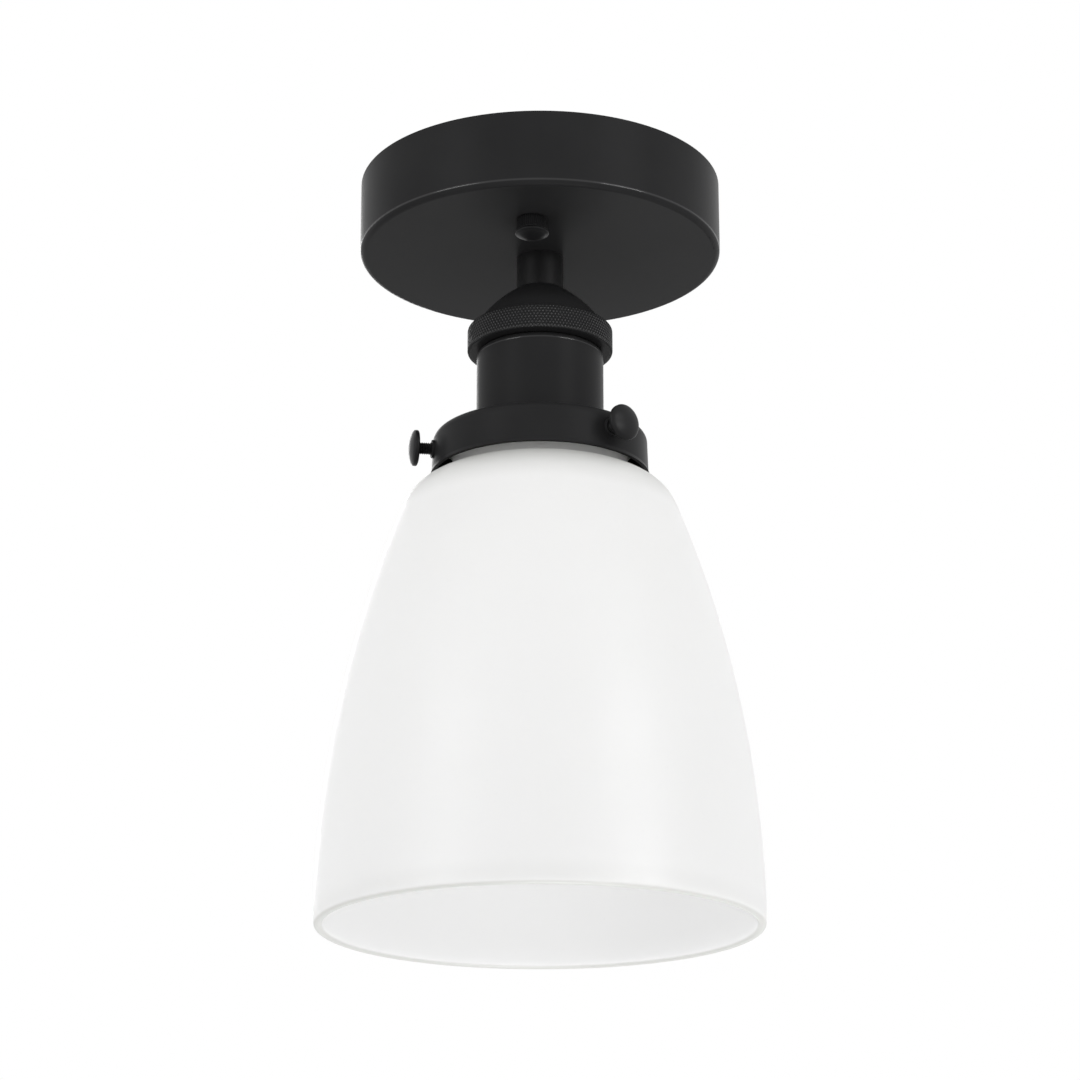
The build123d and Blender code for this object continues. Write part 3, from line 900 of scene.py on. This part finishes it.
class LIGHT_OT_opal_bell(bpy.types.Operator):
    """Turn the opal bell with its neck, lip and fire-polished rim"""

    bl_idname = "light.opal_bell"
    bl_label = "Opal Bell"

    def side(self, sizes, inset):
        """Side of the bell from its rim to its neck, inset from the outer face."""
        rim_level = bottom("glass_shade") + sizes.thickness / 2
        wall_centre = Vector((half_width("glass_shade") - sizes.wall_radius, rim_level))
        turn_level = bottom("shade_holder") - sizes.shoulder_drop - sizes.shoulder_radius
        reach = sizes.wall_radius - sizes.shoulder_radius
        turn_centre = Vector((
            wall_centre.x + math.sqrt(reach ** 2 - (turn_level - rim_level) ** 2), turn_level))
        hollow_reach = sizes.shoulder_radius + sizes.hollow_radius
        hollow_across = sizes.neck_radius + sizes.hollow_radius
        hollow_centre = Vector((hollow_across, turn_level + math.sqrt(
            hollow_reach ** 2 - (hollow_across - turn_centre.x) ** 2)))
        wall = sizes.wall_radius - inset
        turn = sizes.shoulder_radius - inset
        hollow = sizes.hollow_radius + inset
        wall_end = wall_centre + (turn_centre - wall_centre).normalized() * wall
        turn_end = turn_centre + (hollow_centre - turn_centre).normalized() * turn
        neck_start = (hollow_centre.x - hollow, hollow_centre.y)
        points = arc((wall_centre.x + wall, rim_level), wall_end, -wall, steps=56)
        points += arc(wall_end, turn_end, -turn, steps=22)[1:]
        points += arc(turn_end, neck_start, hollow, steps=8)[1:]
        return points

    def execute(self, context):
        sizes = context.scene.light_bell
        lip_top = top("glass_shade")
        lip_bottom = lip_top - sizes.lip_height
        lip_edge = sizes.neck_radius + sizes.lip_overhang
        outer = self.side(sizes, 0.0)
        inner = self.side(sizes, sizes.thickness)
        lip = rounded([
            (sizes.neck_radius, lip_bottom, 0.0), (lip_edge, lip_bottom, sizes.lip_round),
            (lip_edge, lip_top, sizes.lip_round),
            (sizes.neck_radius - sizes.thickness, lip_top, 0.0)])
        rim = arc(inner[0], outer[0], -sizes.thickness / 2, steps=12)
        outline = outer + lip + inner[::-1] + rim[1:]
        bell = turned("opal_glass", outline, columns=160, wobble=sizes.wobble)
        piece("opal_bell", "glass_shade", "fixture", "opal_glass", joined([(bell, STILL)]))
        return {"FINISHED"}


class LIGHT_OT_socket_cap(bpy.types.Operator):
    """Turn the domed socket cap and cut the diamond knurl of its collar"""

    bl_idname = "light.socket_cap"
    bl_label = "Socket Cap"

    def execute(self, context):
        sizes = context.scene.light_metal
        ridges = context.scene.light_ridges
        collar = half_width("socket_cap")
        low = bottom("socket_cap")
        ledge = low + sizes.collar_height
        high = top("socket_cap")
        hole = half_width("nipple")
        core = collar - ridges.collar_depth - sizes.collar_shoulder
        stem = half_width("stem_sleeve")
        seat = sizes.dome_base - sizes.cap_wall
        ceiling = high - sizes.cap_wall
        outline = [(hole, high)]
        outline += arc((stem, high), (sizes.dome_base, ledge), sizes.dome_arc, steps=40)
        outline += [(core, ledge), (core, low), (seat, low), (seat, ledge), (stem, ceiling),
                    (hole, ceiling), (hole, high)]
        knurl = knurled("satin_black", collar, core, sizes.collar_height,
                        (sizes.collar_shoulder, sizes.collar_round), ridges.collar_depth,
                        ridges.collar_pitch, ridges.collar_ridges, crossing=1.0, rows=56)
        dome = turned("satin_black", outline, columns=128)
        piece("knurled_cap", "socket_cap", "fixture", "satin_black",
              joined([(dome, STILL), (knurl, lifted(ledge))]))
        return {"FINISHED"}


# Radius of the bead under a cap nut's barrel as a share of its height, just over a half round
BEAD_ROUND = 0.503


class LIGHT_OT_cap_nuts(bpy.types.Operator):
    """Turn the two cap nuts and cut their straight knurl"""

    bl_idname = "light.cap_nuts"
    bl_label = "Cap Nuts"

    def execute(self, context):
        sizes = context.scene.light_metal
        ridges = context.scene.light_ridges
        for node in ("canopy_nut_front", "canopy_nut_rear"):
            seat = top(node)
            tip = bottom(node)
            barrel = half_width(node) - sizes.nut_bead_reach
            core = barrel - ridges.nut_depth - sizes.nut_bead_reach / 2
            barrel_end = seat - sizes.nut_barrel
            bead_end = barrel_end - sizes.nut_bead
            dome = bead_end - tip
            ball = (barrel ** 2 + dome ** 2) / (2 * dome)
            bore_end = seat - sizes.nut_bore_depth
            outline = [(0.0, bore_end), (sizes.nut_bore, bore_end), (sizes.nut_bore, seat),
                       (core, seat), (core, barrel_end)]
            bead = sizes.nut_bead * BEAD_ROUND
            outline += arc((barrel, barrel_end), (barrel, bead_end), bead, steps=10)
            outline += arc((barrel, bead_end), (0.0, tip), ball, steps=14)[1:]
            edge = sizes.nut_bead / 4
            knurl = knurled("black_screws", barrel, core, sizes.nut_barrel, (edge, edge),
                            ridges.nut_depth, STRAIGHT, ridges.nut_ridges, crossing=0.0, rows=16)
            aside = Matrix.Translation((0.0, middle(node).y, 0.0))
            body = turned("black_screws", outline, columns=64)
            piece("knurled_" + node, node, node, "black_screws",
                  joined([(body, aside), (knurl, aside @ lifted(seat))]))
        return {"FINISHED"}


# A thumb screw's hole as a share of its shank, and the roundings of the hole's rim in metres
HOLE_PLAY = 1.02
HOLE_RIM_ROUND = 0.0004
HOLE_MOUTH_ROUND = 0.0003
# Where the lens on a thumb screw starts, as shares of the head's radius and of its edge
LENS_START = (0.86, 1.42)


class LIGHT_OT_thumb_screws(bpy.types.Operator):
    """Turn the three thumb screws with threaded shanks and lens heads, and the rims of their holes"""

    bl_idname = "light.thumb_screws"
    bl_label = "Thumb Screws"

    def execute(self, context):
        sizes = context.scene.light_metal
        ridges = context.scene.light_ridges
        bore = sizes.thumb_shank * HOLE_PLAY
        rim_top = sizes.hole_rim_root + sizes.hole_rim_height
        thickness = sizes.thumb_rim + sizes.thumb_dome
        rims = []
        for joint in frame["record"]["behaviour"]["joints"]:
            node = joint["child"]
            if not node.startswith("thumb_screw"):
                continue
            outward = Vector(joint["axis"]).normalized()
            reach = [outward.dot(vertex.co) for vertex in frame["nodes"][node].data.vertices]
            seat = max(reach) - thickness
            radius = (top(node) - bottom(node)) / 2
            ball = (radius ** 2 + sizes.thumb_dome ** 2) / (2 * sizes.thumb_dome)
            side = rounded([
                (0.0, 0.0, 0.0), (radius, 0.0, sizes.thumb_round),
                (radius, sizes.thumb_rim, sizes.thumb_round),
                (radius * LENS_START[0], sizes.thumb_rim * LENS_START[1], 0.0)])
            outline = side + arc(side[-1], (0.0, thickness), -ball, steps=18)[1:]
            head = turned("black_screws", outline, columns=72)
            shank = threaded("black_screws", sizes.thumb_shank, seat - min(reach), ridges.thumb_pitch,
                             ridges.thumb_depth)
            aim = outward.to_track_quat("Z", "Y").to_matrix().to_4x4()
            place = Matrix.Translation(outward * seat + Vector((0.0, 0.0, middle(node).z))) @ aim
            piece("threaded_" + node, node, node, "black_screws",
                  joined([(head, place), (shank, place)]))
            rim = turned("satin_black", rounded([
                (bore, 0.0, 0.0), (sizes.hole_rim, 0.0, 0.0),
                (sizes.hole_rim, rim_top, HOLE_RIM_ROUND), (bore, rim_top, HOLE_MOUTH_ROUND),
                (bore, 0.0, 0.0)]), columns=48)
            rims.append((rim, place @ lifted(sizes.screw_wall - sizes.hole_rim_root - seat)))
        piece("screw_hole_rims", None, "fixture", "satin_black", joined(rims))
        return {"FINISHED"}


class LIGHT_OT_ceiling_screws(bpy.types.Operator):
    """Make the canopy studs and the green earth screw with threads and cross recesses"""

    bl_idname = "light.ceiling_screws"
    bl_label = "Ceiling Screws"

    def execute(self, context):
        sizes = context.scene.light_metal
        ridges = context.scene.light_ridges
        head = half_width("canopy_studs")
        seat = top("canopy_studs") - sizes.pan_height
        low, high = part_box("canopy_studs")
        spacing = high[1] - low[1] - 2 * head
        stud = pan_screw("zinc_steel", head, sizes.pan_height, sizes.stud_shank, seat - low[2],
                         ridges.stud_pitch, ridges.stud_depth)
        studs = made("Row of copies", "zinc_steel", {
            "Count": 2, "First": (0.0, -spacing / 2, seat), "Step": (0.0, spacing, 0.0)}, stud)
        piece("threaded_studs", "canopy_studs", "fixture", "zinc_steel", studs)
        low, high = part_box("ground_screw")
        shank = high[2] - low[2] - sizes.pan_height
        earth = pan_screw("green_zinc", head, sizes.pan_height, sizes.stud_shank, shank,
                          ridges.stud_pitch, ridges.stud_depth)
        place = Matrix.Translation((0.0, middle("ground_screw").y, low[2] + sizes.pan_height))
        turn = Matrix.Rotation(math.pi, 4, "X")
        piece("threaded_earth_screw", "ground_screw", "fixture", "green_zinc",
              joined([(earth, place @ turn)]))
        return {"FINISHED"}


# An edge too small to show, in metres: the tree can't divide by nothing
PLAIN_EDGE = 0.00001


class LIGHT_OT_threaded_tubes(bpy.types.Operator):
    """Cut the nipple's thread and roll the lamp thread into the brass shell"""

    bl_idname = "light.threaded_tubes"
    bl_label = "Threaded Tubes"

    def execute(self, context):
        sizes = context.scene.light_metal
        ridges = context.scene.light_ridges
        high = top("nipple")
        nipple = threaded("zinc_steel", half_width("nipple"), high - bottom("nipple"),
                          ridges.nipple_pitch, ridges.nipple_depth, bore=ridges.nipple_bore,
                          columns=48)
        piece("threaded_nipple", "nipple", "fixture", "zinc_steel", joined([(nipple, lifted(high))]))
        outside = half_width("screw_shell")
        high = top("screw_shell")
        shell = made("Ridged side", "socket_brass", {
            "Radius": outside - sizes.shell_wall / 2, "Bore": outside,
            "Length": high - bottom("screw_shell"), "Edge": PLAIN_EDGE, "Far Edge": PLAIN_EDGE,
            "Depth": ridges.lamp_depth, "Pitch": ridges.lamp_pitch, "Starts": 1.0, "Crossing": 0.0,
            "Flat": 0.0, "Roundness": 1.0, "Columns": 96, "Rows": 110})
        piece("rolled_shell", "screw_shell", "fixture", "socket_brass", joined([(shell, lifted(high))]))
        return {"FINISHED"}


WHITE = (1.0, 1.0, 1.0, 1.0)
BLACK = (0.0, 0.0, 0.0, 1.0)
SENSOR_WIDTH = 36.0
# The floor's half width, and the distances between which it fades to the room's white, in metres
FLOOR_REACH = 60.0
FLOOR_FADE = (3.0, 14.0)
# Soft lights: name, place, width and height in metres, and share of the power that is set for the name
LAMPS = (
    ("key", (1.55, -1.10, 0.05), 0.9, 0.14, 0.6),
    ("fill", (-1.35, -1.33, 0.05), 0.9, 0.14, 0.6),
    ("key", (1.55, -1.10, 0.78), 0.9, 0.14, 0.4),
    ("fill", (-1.35, -1.33, 0.78), 0.9, 0.14, 0.4),
    ("back", (-0.35, 1.60, 0.40), 0.9, 0.6, 1.0),
    ("under", (0.07, -0.02, -0.72), 0.24, 0.24, 1.0),
)


class LIGHT_OT_studio(bpy.types.Operator):
    """Set up the camera, the soft lights, the white room and the floor"""

    bl_idname = "light.studio"
    bl_label = "Studio"

    def lamp(self, name, place, aim, width, height, watts):
        """Soft rectangular light that faces a point."""
        data = bpy.data.lights.new(name, "AREA")
        data.shape = "RECTANGLE"
        data.size = width
        data.size_y = height
        data.energy = watts
        lamp = placed(name, data)
        lamp.location = place
        lamp.rotation_euler = (Vector(aim) - Vector(place)).to_track_quat("-Z", "Y").to_euler()

    def seen(self, nodes):
        """1 for what the eye sees, straight or in reflections, and 0 for what only lights."""
        rays = [nodes.add("ShaderNodeLightPath", output="Is " + kind + " Ray")
                for kind in ("Camera", "Glossy", "Transmission")]
        return rays[0].most(rays[1]).most(rays[2])

    def room(self, strength):
        """White room: full white to the eye and in reflections, softer as a light."""
        world = bpy.data.worlds.new("white_room")
        nodes = bare_nodes(world)
        seen = self.seen(nodes)
        glow = nodes.add("ShaderNodeBackground", None,
                         {"Color": WHITE, "Strength": seen + (1 - seen) * strength})
        nodes.add("ShaderNodeOutputWorld", None, {"Surface": glow})
        bpy.context.scene.world = world

    def floor(self, settings):
        """Pale floor that fades to the room's white far away."""
        shape = bmesh.new()
        bmesh.ops.create_grid(shape, x_segments=8, y_segments=8, size=FLOOR_REACH)
        bmesh.ops.translate(shape, verts=shape.verts, vec=(0.0, 0.0, settings.floor_level))
        mesh = settled(shape, "pale_floor")
        material = bpy.data.materials.new("pale_floor")
        nodes = bare_nodes(material)
        point = nodes.add("ShaderNodeTexCoord", output="Object")
        cloud = nodes.noise(point, scale=6.0, detail=3.0)
        fade = nodes.across(point).climb(*FLOOR_FADE)
        tone = settings.floor_colour
        surface = nodes.surface({
            "Base Color": nodes.blend(cloud, shade(tone, 0.99), shade(tone, 1.01)),
            "Roughness": 0.9,
            "Emission Color": nodes.blend(fade * self.seen(nodes), BLACK, settings.floor_glow),
            "Emission Strength": 1.0,
        })
        nodes.add("ShaderNodeOutputMaterial", None, {"Surface": surface})
        mesh.materials.append(material)
        floor = placed("pale_floor", mesh)

    def execute(self, context):
        settings = context.scene.light_studio
        data = bpy.data.cameras.new("front_camera")
        data.sensor_width = SENSOR_WIDTH
        data.lens = settings.lens
        camera = placed("front_camera", data)
        tilt, turn = settings.camera_turn
        aim = Matrix.Rotation(turn, 4, "Z") @ Matrix.Rotation(math.pi / 2 + tilt, 4, "X")
        camera.matrix_world = Matrix.Translation(settings.camera_place) @ aim
        context.scene.camera = camera
        context.scene.view_settings.view_transform = "Standard"
        centre = (cad_bounds[0] + cad_bounds[1]) / 2
        for name, place, width, height, share in LAMPS:
            self.lamp(name, place, centre, width, height, getattr(settings, name + "_power") * share)
        self.room(settings.surround)
        self.floor(settings)
        return {"FINISHED"}


GROUPS = {
    "light_bell": BellSizes,
    "light_metal": MetalSizes,
    "light_ridges": RidgeSizes,
    "light_colours": FinishColours,
    "light_studio": StudioSettings,
}
OPERATORS = (LIGHT_OT_coats, LIGHT_OT_opal_bell, LIGHT_OT_socket_cap, LIGHT_OT_cap_nuts,
             LIGHT_OT_thumb_screws, LIGHT_OT_ceiling_screws, LIGHT_OT_threaded_tubes, LIGHT_OT_studio)


class LIGHT_PT_sidebar(bpy.types.Panel):
    """Settings and pieces of the ceiling light"""

    bl_idname = "LIGHT_PT_sidebar"
    bl_label = "Ceiling Light"
    bl_space_type = "VIEW_3D"
    bl_region_type = "UI"
    bl_category = "Ceiling Light"

    def draw(self, context):
        for name, group in GROUPS.items():
            box = self.layout.box()
            box.label(text=group.__doc__)
            for setting in group.__annotations__:
                box.prop(getattr(context.scene, name), setting)
        for operator in OPERATORS:
            self.layout.operator(operator.bl_idname)


def register():
    for group in GROUPS.values():
        bpy.utils.register_class(group)
    for name, group in GROUPS.items():
        setattr(bpy.types.Scene, name, PointerProperty(type=group))
    for operator in OPERATORS:
        bpy.utils.register_class(operator)
    bpy.utils.register_class(LIGHT_PT_sidebar)


def unregister():
    bpy.utils.unregister_class(LIGHT_PT_sidebar)
    for operator in reversed(OPERATORS):
        bpy.utils.unregister_class(operator)
    for name, group in GROUPS.items():
        delattr(bpy.types.Scene, name)
        bpy.utils.unregister_class(group)


def main():
    register()
    bpy.ops.light.coats()
    bpy.ops.light.opal_bell()
    bpy.ops.light.socket_cap()
    bpy.ops.light.cap_nuts()
    bpy.ops.light.thumb_screws()
    bpy.ops.light.ceiling_screws()
    bpy.ops.light.threaded_tubes()
    bpy.ops.light.studio()


if __name__ == "__main__":
    main()
